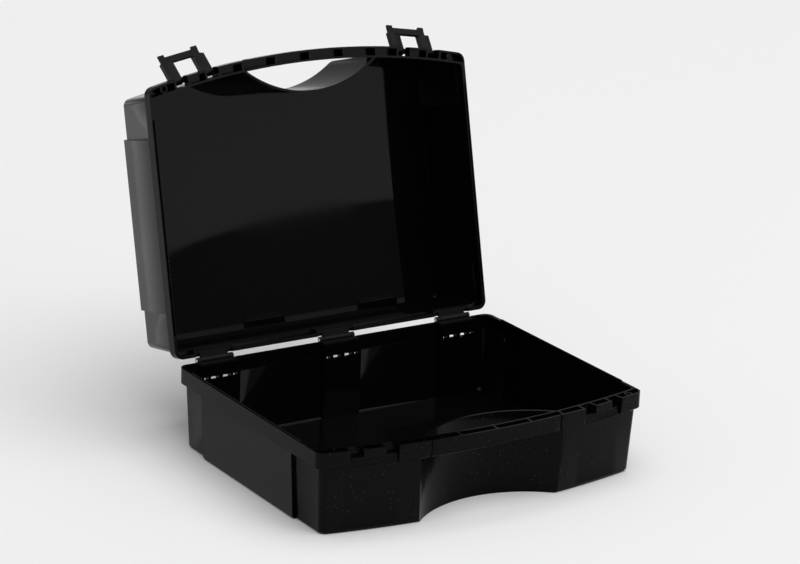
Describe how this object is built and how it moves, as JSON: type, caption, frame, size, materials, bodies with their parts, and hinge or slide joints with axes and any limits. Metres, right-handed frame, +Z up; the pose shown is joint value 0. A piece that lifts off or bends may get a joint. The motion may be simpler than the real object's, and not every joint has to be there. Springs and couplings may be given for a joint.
{
  "type": "hard tool case",
  "caption": "Hard moulded carry case with a bowed front, a scooped grip, side latches and a lid hinged along the rear.",
  "frame": {"origin": "middle of the base's underside, halfway across the case and halfway from the rear rim to the front corners", "axes": "+X to the case's right as seen from its front, +Y from the grip to the hinges, +Z up from the floor; the lid is stored open"},
  "size_m": [0.4, 0.4697, 0.4073],
  "materials": {
    "case_plastic": "satin black, moulded",
    "latch_plastic": "smooth black, moulded",
    "hinge_plastic": "smooth black, moulded",
    "pin_steel": "drawn wire"
  },
  "bodies": {
    "base": {"base_shell": "case_plastic", "hinge_base_left": "hinge_plastic", "hinge_base_centre": "hinge_plastic", "hinge_base_right": "hinge_plastic", "hinge_pin_left": "pin_steel", "hinge_pin_centre": "pin_steel", "hinge_pin_right": "pin_steel"},
    "lid": {"lid_shell": "case_plastic", "hinge_lid_left": "hinge_plastic", "hinge_lid_centre": "hinge_plastic", "hinge_lid_right": "hinge_plastic", "latch_pin_left": "pin_steel", "latch_pin_right": "pin_steel"},
    "latch_left": {"latch_left": "latch_plastic"},
    "latch_right": {"latch_right": "latch_plastic"}
  },
  "joints": [
    {"name": "lid_hinge", "type": "hinge", "parent": "base", "child": "lid", "pos_m": [0, 0.1488, 0.09044], "axis": [1, 0, 0], "range_deg": [0, 103.6]},
    {"name": "latch_left_pivot", "type": "hinge", "parent": "lid", "child": "latch_left", "pos_m": [-0.14048, 0.23226, 0.3799], "axis": [0.9871, 0.0377, 0.1558], "range_deg": [0, 122]},
    {"name": "latch_right_pivot", "type": "hinge", "parent": "lid", "child": "latch_right", "pos_m": [0.14048, 0.23226, 0.3799], "axis": [0.9871, -0.0377, -0.1558], "range_deg": [0, 122]}
  ]
}
